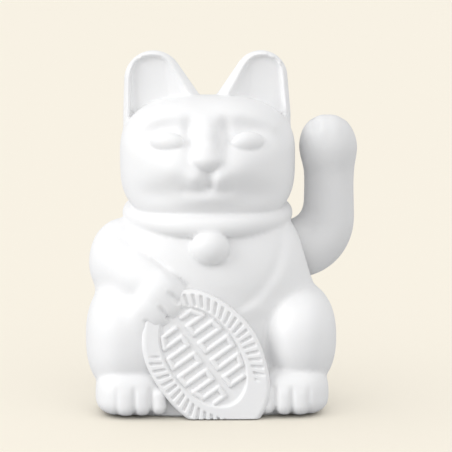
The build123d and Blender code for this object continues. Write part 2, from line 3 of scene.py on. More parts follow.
import bmesh
import bpy
import numpy as np
from mathutils import Matrix, Vector
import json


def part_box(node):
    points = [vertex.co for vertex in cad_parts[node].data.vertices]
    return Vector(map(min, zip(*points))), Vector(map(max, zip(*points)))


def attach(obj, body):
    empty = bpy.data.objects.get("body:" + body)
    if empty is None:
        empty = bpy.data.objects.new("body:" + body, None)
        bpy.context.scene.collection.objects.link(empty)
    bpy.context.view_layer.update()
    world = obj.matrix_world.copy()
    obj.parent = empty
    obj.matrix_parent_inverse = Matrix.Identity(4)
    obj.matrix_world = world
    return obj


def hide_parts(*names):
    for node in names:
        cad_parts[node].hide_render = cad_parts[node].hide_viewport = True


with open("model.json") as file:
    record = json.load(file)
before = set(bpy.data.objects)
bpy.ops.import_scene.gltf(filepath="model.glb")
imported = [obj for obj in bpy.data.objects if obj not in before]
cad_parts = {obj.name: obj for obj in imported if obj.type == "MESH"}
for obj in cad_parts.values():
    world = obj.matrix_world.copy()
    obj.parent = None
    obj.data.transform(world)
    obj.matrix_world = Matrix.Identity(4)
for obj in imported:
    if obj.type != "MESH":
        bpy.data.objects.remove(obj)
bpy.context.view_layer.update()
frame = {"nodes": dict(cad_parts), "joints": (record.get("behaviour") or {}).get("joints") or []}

# ---------------------------------------------------------------- sizes, in millimetres
MM = 0.001
swing = next(joint for joint in frame["joints"] if joint["name"] == "arm_swing")
SEAM_Y = swing["pos_m"][1] / MM  # parting plane of the body and of the arm
PIVOT_Z = swing["pos_m"][2] / MM
base_low, base_high = (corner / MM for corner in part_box("base_plate"))
arm_low, arm_high = (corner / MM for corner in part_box("arm_front_shell"))
LOWER_X = (base_low.x + base_high.x) / 2
RIM_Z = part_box("front_shell")[0].z / MM  # lower rim of the body
BODY_WALL = 1.6
ARM_WALL = 1.4
SEAM_GROOVE = 0.18  # depth of the groove along the parting line
SEAM_EASE = 0.35  # how far the groove's slope reaches on each side
SOLE_GAP = 0.3  # room round the base plate
SOLE_LIP = 3.0  # height of the lip round the base plate
SOLE_SQUARENESS = 2.8

HEAD_CENTRE = (0.0, -1.5, 107.5)
HEAD_RADII = (37.0, 32.2)
HEAD_ABOVE = 24.0  # height of the crown above the head's centre
HEAD_BELOW = 27.0
JAW_DROP = 4.4  # how much lower the head reaches in front
FACE_SHIFT_X = -1.0  # the face's middle, beside the head's centre
EAR_TIP = (22.8, 138.9)  # centre of the rounded tip, x and z
EAR_TIP_R = 11.3
EAR_FOOT_Z = 104.0
EAR_Y = 2.5
EAR_SCOOP = 7.2  # depth of the hollow in front
EYES = (((-17.3, -27.8, 113.7), 3), ((15.7, -28.2, 113.5), -4))  # centre, turn in degrees
EYE_RADII = (7.1, 4.6, 4.5)
COLLAR_RADII = (31.6, 30.2, 4.5)  # half width, half depth and tube
COLLAR_Z = 82.0
COLLAR_SLOPE = 0.09
BELL_CENTRE = (0.2, -32.6, 70.7)
BELL_RADII = (8.0, 6.8, 7.4)
POCKET_R = 15.0
POCKET_FLOOR_X = arm_low.x - 0.8
ARM_R = 10.8  # forearm
ROOT_R = 12.3  # the arm's root, round the shaft
ROOT_LIFT = 0.5  # the root's centre above the shaft
BEND_X = 38.1  # where the elbow's bend starts
BEND_R = 13.8
FORE_TOP_Z = 108.0  # where the forearm rounds off, inside the paw
PAW_CENTRE = (51.1, 0.2, 110.9)
PAW_RADII = (11.7, 10.5, 12.2)
FINGER_SLITS = (  # from the palm to the coin's rim, x and z
    ((-17.9, 54.2), (-13.2, 49.2)),
    ((-21.6, 48.3), (-16.9, 42.2)),
    ((-27.5, 42.6), (-23.6, 38.0)),
)
COIN_CENTRE = (-1.5, -40.2, 24.3)
COIN_SHORT = 23.0
COIN_LONG = 33.4
COIN_TURN = 35.5  # degrees
COIN_LEAN = 3.8  # degrees
COIN_INSET = 0.985  # the visual coin stays inside the CAD coin
COIN_FIELD_B = 2.4  # the sunk field's centre along the coin
EDGE_DROP = 2.2  # how far the coin's rim rounds off
FIELD_DEPTH = 1.3
NOTCH_PITCH = 3.7
NOTCH_DEPTH = 1.0
RIB_R = 1.15
RIB_HEIGHT = 1.25

BODY_CELL = 1.36  # grid spacing
ARM_CELL = 0.85
NO_SLOPE = 1e-3  # smallest gradient that a distance is divided by
SAME = 1e-3  # vertices this near to a plane lie on it


# ---------------------------------------------------------------- distance fields
# Points are rows of x, y, z. A field is below zero inside the solid.
def blend(a, b, soft):
    """Union of two fields, with a fillet of about this size."""
    h = np.clip(0.5 + 0.5 * (b - a) / soft, 0.0, 1.0)
    return b * (1 - h) + a * h - soft * h * (1 - h)


def carve(a, b, soft):
    """Field a with b taken out of it."""
    return -blend(-a, b, soft)


def ramp(value):
    """0 below 0, 1 above 1 and smooth between."""
    t = np.clip(value, 0.0, 1.0)
    return t * t * (3 - 2 * t)


def ball(p, centre, radii, power=2.0, turn_y=0.0):
    """An ellipsoid, squarer for a higher power, turned about Y in degrees."""
    q = p - np.array(centre)
    if turn_y:
        c, s = math.cos(math.radians(turn_y)), math.sin(math.radians(turn_y))
        q = np.stack([q[:, 0] * c - q[:, 2] * s, q[:, 1], q[:, 0] * s + q[:, 2] * c], axis=1)
    u = np.abs(q) / np.array(radii)
    if power == 2.0:
        g = np.sqrt((u * u).sum(axis=1))
        slope = np.sqrt(((u / np.array(radii)) ** 2).sum(axis=1)) / np.maximum(g, 0.2)
    else:
        g = (u ** power).sum(axis=1) ** (1 / power)
        slope = np.sqrt(((u ** (power - 1) / np.array(radii)) ** 2).sum(axis=1))
        slope *= np.maximum(g, 0.2) ** (1 - power)
    return (g - 1.0) / np.maximum(slope, NO_SLOPE)


def limb(p, points, radii, soft):
    """A chain of tapered capsules through the points."""
    result = None
    for i in range(len(points) - 1):
        a, b = np.array(points[i]), np.array(points[i + 1])
        axis = b - a
        along = np.clip(((p - a) @ axis) / (axis @ axis), 0.0, 1.0)
        radius = radii[i] + (radii[i + 1] - radii[i]) * along
        part = np.linalg.norm(p - a - along[:, None] * axis, axis=1) - radius
        result = part if result is None else blend(result, part, soft)
    return result


def line_gap(x, z, points):
    """Distance from a broken line, seen from the front."""
    q = np.stack([x, z], axis=1)
    best = None
    for start, end in zip(points[:-1], points[1:]):
        a, axis = np.array(start), np.array(end) - np.array(start)
        along = np.clip(((q - a) @ axis) / (axis @ axis), 0.0, 1.0)
        gap = np.linalg.norm(q - a - along[:, None] * axis, axis=1)
        best = gap if best is None else np.minimum(best, gap)
    return best


def crease(x, z, points, width):
    """1 along a broken line, seen from the front, and fading out over this width."""
    return np.exp(-((line_gap(x, z, points) / width) ** 2))


def swell(x, z, centre, radii, turn=0.0):
    """A soft swelling, seen from the front."""
    c, s = math.cos(math.radians(turn)), math.sin(math.radians(turn))
    u = ((x - centre[0]) * c + (z - centre[1]) * s) / radii[0]
    v = ((z - centre[1]) * c - (x - centre[0]) * s) / radii[1]
    return np.exp(-(u * u + v * v))


# ---------------------------------------------------------------- the cat's body
TORSO_LEVELS = np.array([  # z, centre x, half width, front y, back y, squareness
    (-8.0, LOWER_X, 44.6, -35.6, 35.6, 2.8),
    (1.0, LOWER_X, 45.0, -36.0, 36.0, 2.8),
    (8.0, LOWER_X, 46.6, -36.3, 37.0, 2.7),
    (19.0, LOWER_X, 48.0, -33.0, 38.3, 2.35),
    (33.0, LOWER_X, 48.5, -31.5, 38.8, 2.15),
    (46.0, 1.0, 46.3, -33.0, 37.0, 2.15),
    (56.0, 0.7, 43.3, -34.5, 34.5, 2.25),
    (66.0, 0.4, 40.7, -33.4, 31.0, 2.35),
    (75.0, 0.0, 37.5, -30.6, 28.0, 2.35),
    (82.0, 0.0, 32.5, -27.5, 26.0, 2.2),
    (87.0, 0.0, 27.0, -24.5, 22.0, 2.1),
])
ARM_CREASE = [(-42.5, 76.2), (-31.7, 70.6), (-21.5, 64.6), (-9.6, 55.0)]
BAND_CREASE = [
    (30.8, 80.0), (30.4, 74.0), (29.7, 69.0), (28.6, 64.3), (26.6, 60.0), (23.8, 55.9), (20.8, 52.0),
    (17.6, 48.6), (11.5, 44.4), (6.0, 41.0),
]


def level_values(z):
    """Smooth values between the torso's levels (cubic Hermite)."""
    heights = TORSO_LEVELS[:, 0]
    rows = TORSO_LEVELS[:, 1:]
    slopes = np.gradient(rows, heights, axis=0)
    z = np.clip(z, heights[0], heights[-1])
    i = np.clip(np.searchsorted(heights, z) - 1, 0, len(heights) - 2)
    span = heights[i + 1] - heights[i]
    t = ((z - heights[i]) / span)[:, None]
    span = span[:, None]
    value = (2 * t ** 3 - 3 * t ** 2 + 1) * rows[i] + (t ** 3 - 2 * t ** 2 + t) * span * slopes[i]
    value += (3 * t ** 2 - 2 * t ** 3) * rows[i + 1] + (t ** 3 - t ** 2) * span * slopes[i + 1]
    return value.T


def torso(p):
    """The trunk, a rounded rectangle in plan at every height."""
    centre_x, half_x, front, back, square = level_values(p[:, 2])
    half_y = (back - front) / 2
    u = np.abs(p[:, 0] - centre_x) / half_x
    v = np.abs(p[:, 1] - (front + back) / 2) / half_y
    g = (u ** square + v ** square) ** (1 / square)
    slope = np.sqrt((u ** (square - 1) / half_x) ** 2 + (v ** (square - 1) / half_y) ** 2)
    slope *= np.maximum(g, 0.2) ** (1 - square)
    side = (g - 1.0) / np.maximum(slope, NO_SLOPE)
    return np.maximum(side, p[:, 2] - TORSO_LEVELS[-1][0])


def head(p):
    """A rounded block, squarer below its middle, with the face in relief."""
    q = np.abs(p - np.array(HEAD_CENTRE))
    above = p[:, 2] > HEAD_CENTRE[2]
    round_plan = 2.35
    upright = np.where(above, 2.55, 3.8)
    mean_radius = 30.0
    jaw = JAW_DROP * ramp((-p[:, 1] - 4.0) / 20.0)
    height = np.where(above, HEAD_ABOVE, HEAD_BELOW + jaw)
    across, along = q[:, 0] / HEAD_RADII[0], q[:, 1] / HEAD_RADII[1]
    plan = (across ** round_plan + along ** round_plan) ** (1 / round_plan)
    g = (plan ** upright + (q[:, 2] / height) ** upright) ** (1 / upright)
    facing = ramp((-p[:, 1] - 9.0) / 9.0)
    block = (g - 1.0) * mean_radius - face(p[:, 0] - FACE_SHIFT_X, p[:, 2]) * facing
    bridge = limb(p, [(-1.3, -25.0, 120.2), (-1.2, -29.4, 116.0), (-1.1, -33.0, 110.5)], (3.8, 4.2, 4.9), 3.0)
    nose = blend(bridge, ball(p, (-1.1, -34.5, 107.0), (6.6, 5.2, 4.6), 1.9), 2.2)
    upper = blend(block, nose, 1.6)
    for centre, turn in EYES:
        upper = blend(upper, eye(p, centre, turn), 0.8)
    return upper


def eye(p, centre, turn):
    """A closed oval eye, swept back with the curve of the face."""
    sweep = math.copysign(0.30, centre[0])
    q = p.copy()
    q[:, 1] -= sweep * (p[:, 0] - centre[0])
    return ball(q, centre, EYE_RADII, 2.0, turn)


def face(x, z):
    """How far the face stands out of the head: cheeks, sockets, brows, muzzle, mouth and chin."""
    cheeks = ramp((z - 89.0) / 14.0) * ramp((118.0 - z) / 13.0) * ramp((31.0 - np.abs(x)) / 17.0)
    out = 1.3 * cheeks
    for side in (-1, 1):
        out -= 4.1 * swell(x, z, (side * 15.6, 117.6), (11.8, 5.6), -side * 8)  # socket
        out -= 2.9 * swell(x, z, (side * 7.2, 115.4), (2.8, 6.6))  # inner corner
        brow = [(side * 28, 120.0), (side * 17, 126.2), (side * 8, 127.4)]
        out += 0.5 * crease(x, z, brow, 3.6)
        out += 2.0 * swell(x, z, (side * 12.6, 103.2), (8.4, 6.2))  # cheek beside the nose
        out += 1.5 * swell(x, z, (side * 5.4, 99.2), (4.0, 4.2))  # upper lip
        out -= 1.1 * swell(x, z, (side * 20.0, 92.6), (8.5, 4.6))  # hollow beside the chin
        mouth = [(0.2, 94.8), (0.2 + side * 4.5, 94.0), (0.2 + side * 9.5, 94.2)]
        out -= 0.35 * crease(x, z, mouth, 1.9)
    out -= 2.3 * crease(x, z, [(0.6, 96.6), (0.6, 103.0)], 2.3)  # groove below the nose
    out += 1.4 * swell(x, z, (0.0, 99.0), (9.0, 5.6))  # muzzle
    out += 1.6 * swell(x, z, (-0.4, 90.2), (10.6, 3.4))  # chin
    return out


def ear(p, side):
    """An upright ear with a rounded tip, scooped out in front inside a thin rim."""
    tip_x, tip_r, flare, inner_rim = (EAR_TIP[0], EAR_TIP_R, 0.090, 2.6)
    slant_x, slant_z = 0.823, 0.568  # direction that the inner edge faces
    if side < 0:
        tip_x, tip_r, flare, inner_rim = (EAR_TIP[0] - 0.1, EAR_TIP_R + 1.1, 0.035, 2.0)
    across = side * p[:, 0] - tip_x
    up = p[:, 2] - EAR_TIP[1] - EAR_TIP_R + tip_r
    outer_edge = across + np.maximum(up, -15.0) * flare
    inner_edge = -across * slant_x + up * slant_z
    past_tip = (across * flare < up) & (-across * slant_z - up * slant_x < 0)
    outline = np.where(past_tip, np.hypot(across, up), np.maximum(outer_edge, inner_edge)) - tip_r
    thick = 7.6 - 2.4 * ramp((p[:, 2] - 120.0) / 30.0)
    lowest = EAR_FOOT_Z - p[:, 2]
    beyond = np.maximum(np.maximum(outline, lowest) + thick, 0.0)
    shape = np.hypot(beyond, np.abs(p[:, 1] - EAR_Y)) - thick
    from_outer = tip_r - outer_edge
    from_inner = tip_r - inner_edge - inner_rim * ramp((152.0 - p[:, 2]) / 22.0)
    walls = ramp((from_outer - 1.2) / 3.6) * ramp((-outline - 1.2) / 3.0)
    deepening = 0.3 * ramp((from_inner - 0.6) / 3.6) + 0.7 * np.clip((from_inner - 0.6) / 15.0, 0.0, 1.0)
    return shape + EAR_SCOOP * walls * deepening * ramp((EAR_Y - 0.5 - p[:, 1]) / 1.5)


def thigh(p, side):
    """A full, round thigh; the one below the holding arm is a little bigger."""
    if side > 0:
        return ball(p, (LOWER_X + 36.1, -9.0, 30.2), (16.8, 29.0, 22.6), 2.3)
    return ball(p, (LOWER_X - 34.4, -9.0, 30.2), (18.6, 29.5, 23.8), 2.5)


def hind_foot(p, side):
    """A blocky foot, rounded underneath, with grooves between its toes."""
    x, y, z = (LOWER_X + side * 33.6, -21.0, 8.0)
    lower, upper = (ball(p, (x, y, z), (15.2, 19.4, height), 2.75) for height in (8.6, 13.8))
    foot = np.where(p[:, 2] < z, lower, upper)
    for toe in (22.4, 29.1, 36.1):
        toe_x = LOWER_X + side * toe
        foot = blend(foot, limb(p, [(toe_x, -37.2, 5.2), (toe_x, -36.9, 9.5)], (3.3, 3.0), 2.0), 2.0)
    in_front = ramp((15.0 - p[:, 2]) / 4.0) * ramp((-30.0 - p[:, 1]) / 4.0)
    for gap, depth in ((25.8, 0.8), (32.5, 0.8), (39.6, 0.4)):
        foot += depth * np.exp(-(((p[:, 0] - LOWER_X - side * gap) / 1.0) ** 2)) * in_front
    return foot


def holding_arm(p):
    """The lowered arm, from its round shoulder to the paw on the coin."""
    shoulder = ball(p, (-34.4, -6.0, 62.4), (15.5, 15.5, 17.6), 2.1)
    centre_line = [(-34.0, -10.0, 59.5), (-27.0, -22.0, 57.0), (-20.0, -30.0, 53.5)]
    forearm = limb(p, centre_line, (14.0, 11.8, 9.6), 3.0)
    arm = blend(shoulder, forearm, 5.0)
    palm = ball(p, (-20.8, -33.2, 47.2), (9.4, 7.4, 12.6), 2.3, 46)
    return blend(arm, palm, 3.0)


def finger_slits(p):
    """Three narrow slits that part four fingers, each deepest at the coin's rim."""
    deepest, width, run_in = 1.4, 1.1, 4.5
    x, z = p[:, 0], p[:, 2]
    depth = 0.0
    for slit in FINGER_SLITS:
        from_palm = np.hypot(x - slit[0][0], z - slit[0][1])
        depth = depth + crease(x, z, slit, width) * ramp(from_palm / run_in)
    return deepest * depth * ramp((-p[:, 1] - 28.0) / 5.0)


def collar(p):
    """A round collar, lower at the front, and the neck that closes the gap above it."""
    radius, depth, tube = COLLAR_RADII
    z = p[:, 2] - COLLAR_Z - COLLAR_SLOPE * p[:, 1]
    from_axis = np.sqrt(p[:, 0] ** 2 + ((p[:, 1] + 1.0) * radius / depth) ** 2)
    neck = np.hypot(from_axis - radius + 2.8, z - 1.9) - 4.2
    return blend(np.hypot(from_axis - radius, z) - tube, neck, 1.0)


def shoulder_band(p):
    """How far the raised arm's shoulder stands out of the chest, beyond its crease."""
    upwards = np.array(BAND_CREASE)[::-1]
    past = p[:, 0] - np.interp(p[:, 2], upwards[:, 1], upwards[:, 0])
    raised = 1.0 * ramp((past + 1.0) / 7.0) * ramp((p[:, 2] - 38.0) / 8.0)
    groove = 0.3 * crease(p[:, 0], p[:, 2], BAND_CREASE, 2.0)
    return (raised - groove) * ramp((-p[:, 1] - 3.0) / 12.0)


def tail(p):
    """A short tail that curls up the back."""
    curl = [(22.0, 31.0, 8.0), (9.0, 35.8, 10.0), (-5.0, 36.0, 12.5), (-13.5, 35.4, 20.0),
            (-12.5, 35.0, 29.0)]
    return limb(p, curl, (4.4, 4.9, 5.1, 4.7, 4.0), 3.0)


def body(p):
    """The whole body without its coin, with the arm's pocket cut into its side."""
    front = ramp((-p[:, 1] - 3.0) / 8.0)
    solid = blend(torso(p) - shoulder_band(p), thigh(p, 1), 1.2)
    solid = blend(solid, blend(thigh(p, -1), holding_arm(p), 5.0), 1.2)
    for side in (-1, 1):
        solid = blend(solid, hind_foot(p, side), 0.9)
    solid = solid + 0.8 * crease(p[:, 0], p[:, 2], ARM_CREASE, 1.2) * front + finger_slits(p)
    solid = blend(solid, tail(p), 1.5)
    upper = head(p)
    for side in (-1, 1):
        upper = blend(upper, ear(p, side), 0.8)
    solid = blend(solid, upper, 0.8)
    solid = blend(solid, collar(p), 1.0)
    solid = blend(solid, ball(p, BELL_CENTRE, BELL_RADII), 0.5)
    across = np.hypot(p[:, 1] - SEAM_Y, p[:, 2] - PIVOT_Z) - POCKET_R
    pocket = np.maximum(across, POCKET_FLOOR_X - p[:, 0])
    return carve(solid, pocket, 0.7)


# ---------------------------------------------------------------- the waving arm
def waving_arm(p):
    """Root, elbow and forearm on one bent centre line, and a rounded paw."""
    root_z = PIVOT_Z + ROOT_LIFT
    top_z = root_z + BEND_R
    fore_x = BEND_X + BEND_R
    x, y, z = p[:, 0], p[:, 1] - SEAM_Y, p[:, 2]
    elbow = np.hypot(np.hypot(x - BEND_X, z - top_z) - BEND_R, y)
    turn = ramp(np.arctan2(x - BEND_X, top_z - z) / (math.pi / 2))
    far_away = 50.0
    elbow = np.where((x > BEND_X) & (z < top_z), elbow - ROOT_R + (ROOT_R - ARM_R) * turn, far_away)
    root = np.hypot(np.maximum(x - BEND_X, 0.0), np.hypot(y, z - root_z)) - ROOT_R
    taper = 0.3 * ramp((z - top_z) / 14.0) - 0.5 * ramp((z - 94.0) / 12.0)
    fore = np.hypot(np.maximum(top_z - z, 0.0), np.hypot(x - fore_x, y)) - ARM_R + taper
    end_round = 8.0
    fore = np.hypot(np.maximum(z - FORE_TOP_Z, 0.0), fore + end_round) - end_round
    arm = np.minimum(blend(root, fore, 9.0), elbow)
    paw = ball(p, PAW_CENTRE, PAW_RADII, 2.15)
    for offset in (-5.9, 0.0, 5.9):
        groove = np.exp(-(((x - PAW_CENTRE[0] - offset) / 1.3) ** 2)) * ramp((z - 110.0) / 6.0)
        paw += 0.12 * groove * ramp((3.0 - y) / 4.0)
    dimple = np.exp(-(((x - 45.6) / 1.9) ** 2) - ((z - 119.0) / 2.3) ** 2) * (y < 0)
    return blend(arm, paw, 4.0) + dimple


# ---------------------------------------------------------------- from field to mesh
def sample_grid(field, low, high, cell):
    """Field values on a grid, exact near the surface and rough away from it."""
    block = 4  # cells along a rough block
    middle = (block - 1) / 2 / block
    counts = [int(math.ceil((b - a) / cell / block)) for a, b in zip(low, high)]
    axes = [a + cell * block * (np.arange(n) + middle) for a, n in zip(low, counts)]
    rough_points = np.stack(np.meshgrid(*axes, indexing="ij"), axis=-1).reshape(-1, 3)
    rough = field(rough_points).reshape(counts)
    for axis in range(3):
        rough = np.repeat(rough, block, axis=axis)
    near = np.abs(rough) < cell * block * 1.3
    index = np.argwhere(near)
    rough[near] = field(np.array(low) + index * cell)
    return rough


def corner_cut(shape, step):
    """Slices that shift a cell grid by 0 or 1 along each axis."""
    return tuple(slice(s, n - 1 + s) for s, n in zip(step, shape))


def net(values, low, cell):
    """Vertices and quads of the zero surface, one vertex in each cell that it crosses."""
    shape = values.shape
    steps = [(i, j, k) for i in (0, 1) for j in (0, 1) for k in (0, 1)]
    corners = np.stack([values[corner_cut(shape, step)] for step in steps], axis=-1)
    inside = (corners < 0).sum(axis=-1)
    crossed = (inside > 0) & (inside < 8)
    where = np.argwhere(crossed)
    corner = corners[crossed]
    total = np.zeros((len(where), 3))
    count = np.zeros(len(where))
    for a, step in enumerate(steps):
        for axis in range(3):
            if step[axis]:
                continue
            other = list(step)
            other[axis] = 1
            b = steps.index(tuple(other))
            change = (corner[:, a] < 0) != (corner[:, b] < 0)
            part = corner[change, a] / (corner[change, a] - corner[change, b])
            spot = np.tile(np.array(step, float), (len(part), 1))
            spot[:, axis] += part
            total[change] += spot
            count[change] += 1
    points = np.array(low) + (where + total / count[:, None]) * cell
    number = -np.ones(crossed.shape, int)
    number[crossed] = np.arange(len(where))
    quads = []
    for axis in range(3):
        u, v = (axis + 1) % 3, (axis + 2) % 3
        first = np.take(values, range(shape[axis] - 1), axis=axis) < 0
        second = np.take(values, range(1, shape[axis]), axis=axis) < 0
        for flip, change in ((False, first & ~second), (True, ~first & second)):
            at = np.argwhere(change)
            at = at[(at[:, u] > 0) & (at[:, v] > 0) & (at[:, u] < shape[u] - 1) & (at[:, v] < shape[v] - 1)]
            ring = []
            for du, dv in ((-1, -1), (0, -1), (0, 0), (-1, 0)):
                spot = at.copy()
                spot[:, u] += du
                spot[:, v] += dv
                ring.append(number[spot[:, 0], spot[:, 1], spot[:, 2]])
            quad = np.stack(ring, axis=1)
            quads.append(quad[:, ::-1] if flip else quad)
    return points, np.concatenate(quads)


def settle(field, points, reach):
    """Moves points onto the zero surface along its slope, at most this far in each round."""
    h = 0.05  # step for the slope
    for _ in range(2):
        value = field(points)
        slope = np.zeros_like(points)
        for axis in range(3):
            shift = np.zeros(3)
            shift[axis] = h
            slope[:, axis] = (field(points + shift) - value) / h
        size = np.maximum((slope ** 2).sum(axis=1), 0.1)
        move = slope * (value / size)[:, None]
        length = np.linalg.norm(move, axis=1)
        move *= (np.minimum(length, reach) / np.maximum(length, 1e-9))[:, None]
        points = points - move
    return points


def even_out(points, quads):
    """Pulls each vertex towards its neighbours' centre, so that the quads are even."""
    edges = np.concatenate([quads[:, [i, (i + 1) % 4]] for i in range(4)])
    first, second = edges.T
    size = len(points)
    count = np.bincount(first, minlength=size) + np.bincount(second, minlength=size)
    for _ in range(2):
        total = np.zeros_like(points)
        for axis in range(3):
            total[:, axis] += np.bincount(first, points[second, axis], minlength=size)
            total[:, axis] += np.bincount(second, points[first, axis], minlength=size)
        points = 0.5 * points + 0.5 * total / np.maximum(count, 1)[:, None]
    return points


def surface(field, low, high, cell, fine_zones):
    """A bmesh in millimetres of the zero surface. Each list of zones halves the faces' size in it."""
    points, quads = net(sample_grid(field, low, high, cell), low, cell)
    points = settle(field, even_out(points, quads), 0.8)
    mesh = bpy.data.meshes.new("surface")
    mesh.from_pydata(points.tolist(), [], quads.tolist())
    bm = bmesh.new()
    bm.from_mesh(mesh)
    bpy.data.meshes.remove(mesh)
    for zones in fine_zones:
        split = [edge for edge in bm.edges if all(in_zones(vert.co, zones) for vert in edge.verts)]
        bmesh.ops.subdivide_edges(bm, edges=split, cuts=1, use_grid_fill=True)
        spots = settle(field, np.array([vert.co[:] for vert in bm.verts]), 0.3)
        for vert, spot in zip(bm.verts, spots):
            vert.co = spot
    return bm


def in_zones(point, zones):
    """Whether the point is in one of these boxes."""
    return any(all(a <= c <= b for a, c, b in zip(low, point, high)) for low, high in zones)


# ---------------------------------------------------------------- materials
def new_material(name, colour, roughness, metallic=0.0):
    """A node material, and its shader, for one finish."""
    material = bpy.data.materials.new(name)
    material.use_nodes = True
    shader = material.node_tree.nodes["Principled BSDF"]
    shader.inputs["Metallic"].default_value = metallic
    shader.inputs["Base Color"].default_value = (*colour, 1)
    shader.inputs["Roughness"].default_value = roughness
    return material, shader


def noise(material, scale, detail, stretch=(1, 1, 1)):
    """A noise texture in the object's own space; scale is per metre."""
    nodes, links = material.node_tree.nodes, material.node_tree.links
    place = nodes.new("ShaderNodeTexCoord")
    mapping = nodes.new("ShaderNodeMapping")
    mapping.inputs["Scale"].default_value = stretch
    texture = nodes.new("ShaderNodeTexNoise")
    texture.inputs["Scale"].default_value = scale
    texture.inputs["Detail"].default_value = detail
    links.new(place.outputs["Object"], mapping.inputs["Vector"])
    links.new(mapping.outputs["Vector"], texture.inputs["Vector"])
    return texture.outputs["Fac"]


def spread(material, source, low, high):
    """A number that follows a noise texture between two limits."""
    node = material.node_tree.nodes.new("ShaderNodeMapRange")
    node.inputs["From Min"].default_value = 0.3
    node.inputs["From Max"].default_value = 0.7
    node.inputs["To Min"].default_value = low
    node.inputs["To Max"].default_value = high
    material.node_tree.links.new(source, node.inputs["Value"])
    return node.outputs["Result"]


def tint(material, source, first, second):
    """A colour that follows a texture between two colours."""
    node = material.node_tree.nodes.new("ShaderNodeMix")
    node.data_type = "RGBA"
    node.inputs["A"].default_value = (*first, 1)
    node.inputs["B"].default_value = (*second, 1)
    material.node_tree.links.new(source, node.inputs["Factor"])
    return node.outputs["Result"]


def bump(material, shader, source, strength, distance):
    """A fine grain on the surface."""
    node = material.node_tree.nodes.new("ShaderNodeBump")
    node.inputs["Strength"].default_value = strength
    node.inputs["Distance"].default_value = distance
    material.node_tree.links.new(source, node.inputs["Height"])
    material.node_tree.links.new(node.outputs["Normal"], shader.inputs["Normal"])


def varied(name, colour, second, roughness, metallic=0.0, patch=60.0, grain=1500.0, grain_depth=0.00003,
           stretch=(1, 1, 1), strength=0.25):
    """A finish whose colour and gloss drift in patches, with a fine grain; depth is in metres."""
    material, shader = new_material(name, colour, roughness, metallic)
    links = material.node_tree.links
    patches = noise(material, patch, 4.0)
    fine = noise(material, grain, 2.0, stretch)
    mixed = tint(material, spread(material, patches, 0.0, 1.0), colour, second)
    links.new(mixed, shader.inputs["Base Color"])
    gloss = spread(material, patches, roughness * 0.88, min(1.0, roughness * 1.12))
    links.new(gloss, shader.inputs["Roughness"])
    bump(material, shader, fine, strength, grain_depth)
    return material


def white_moulding(name, colour, second):
    """Matte white moulded plastic with an eggshell grain."""
    material = varied(name, colour, second, 0.46, patch=45.0, grain=2600.0, grain_depth=0.00004, strength=0.3)
    shader = material.node_tree.nodes["Principled BSDF"]
    shader.inputs["Specular IOR Level"].default_value = 0.38
    shader.inputs["Subsurface Weight"].default_value = 0.06
    shader.inputs["Subsurface Radius"].default_value = (0.002, 0.0018, 0.0016)
    shader.inputs["Subsurface Scale"].default_value = 1.0
    return material


def paint(node, material):
    """Gives a CAD node this material in every slot."""
    slots = frame["nodes"][node].data.materials
    if not len(slots):
        slots.append(material)
    for i in range(len(slots)):
        slots[i] = material


# ---------------------------------------------------------------- pieces
def shell_piece(name, bm, material, rides, node, thickness):
    """A mesh object in metres from a bmesh in millimetres, given its wall inwards."""
    bmesh.ops.scale(bm, vec=(MM, MM, MM), verts=bm.verts)
    mesh = bpy.data.meshes.new(name)
    bm.to_mesh(mesh)
    bm.free()
    mesh.materials.append(material)
    mesh.polygons.foreach_set("use_smooth", [True] * len(mesh.polygons))
    piece = bpy.data.objects.new(name, mesh)
    bpy.context.scene.collection.objects.link(piece)
    if thickness:
        wall = piece.modifiers.new("wall", "SOLIDIFY")
        wall.thickness = thickness * MM
        wall.offset = -1.0
        wall.use_rim = True
    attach(piece, rides)
    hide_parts(node)


def cut(bm, point, normal):
    """Keeps the side of the plane that its normal points away from."""
    geometry = list(bm.verts) + list(bm.edges) + list(bm.faces)
    bmesh.ops.bisect_plane(bm, geom=geometry, plane_co=point, plane_no=normal, clear_outer=True, dist=1e-5)


def add_sole(bm):
    """Closes the cut underside outside the base plate, with a lip around the plate."""
    border = [edge for edge in bm.edges if edge.is_boundary]
    outer = [edge for edge in border if all(abs(vert.co.z - RIM_Z) < SAME for vert in edge.verts)]
    steps = 160
    half_x = (base_high.x - base_low.x) / 2 + SOLE_GAP
    half_y = (base_high.y - base_low.y) / 2 + SOLE_GAP
    centre_y = (base_high.y + base_low.y) / 2
    ring = []
    for i in range(steps):
        turn = 2 * math.pi * i / steps
        c, s = math.cos(turn), math.sin(turn)
        x = LOWER_X + half_x * math.copysign(abs(c) ** (2 / SOLE_SQUARENESS), c)
        y = centre_y + half_y * math.copysign(abs(s) ** (2 / SOLE_SQUARENESS), s)
        ring.append(bm.verts.new((x, y, RIM_Z)))
    inner = [bm.edges.new((ring[i], ring[(i + 1) % steps])) for i in range(steps)]
    filled = bmesh.ops.triangle_fill(bm, use_beauty=True, edges=outer + inner, normal=(0, 0, -1))
    for facet in [item for item in filled["geom"] if isinstance(item, bmesh.types.BMFace)]:
        if facet.normal.z > 0:
            facet.normal_flip()
    lip = bmesh.ops.extrude_edge_only(bm, edges=inner)
    raised = [item for item in lip["geom"] if isinstance(item, bmesh.types.BMVert)]
    bmesh.ops.translate(bm, verts=raised, vec=(0, 0, SOLE_LIP))
    bmesh.ops.recalc_face_normals(bm, faces=bm.faces)


def parting_groove(bm):
    """Draws the surface in a little along the parting plane."""
    bm.normal_update()
    for vert in bm.verts:
        if abs(vert.co.y - SEAM_Y) < SAME:
            vert.co -= Vector((vert.normal.x, 0, vert.normal.z)) * SEAM_GROOVE


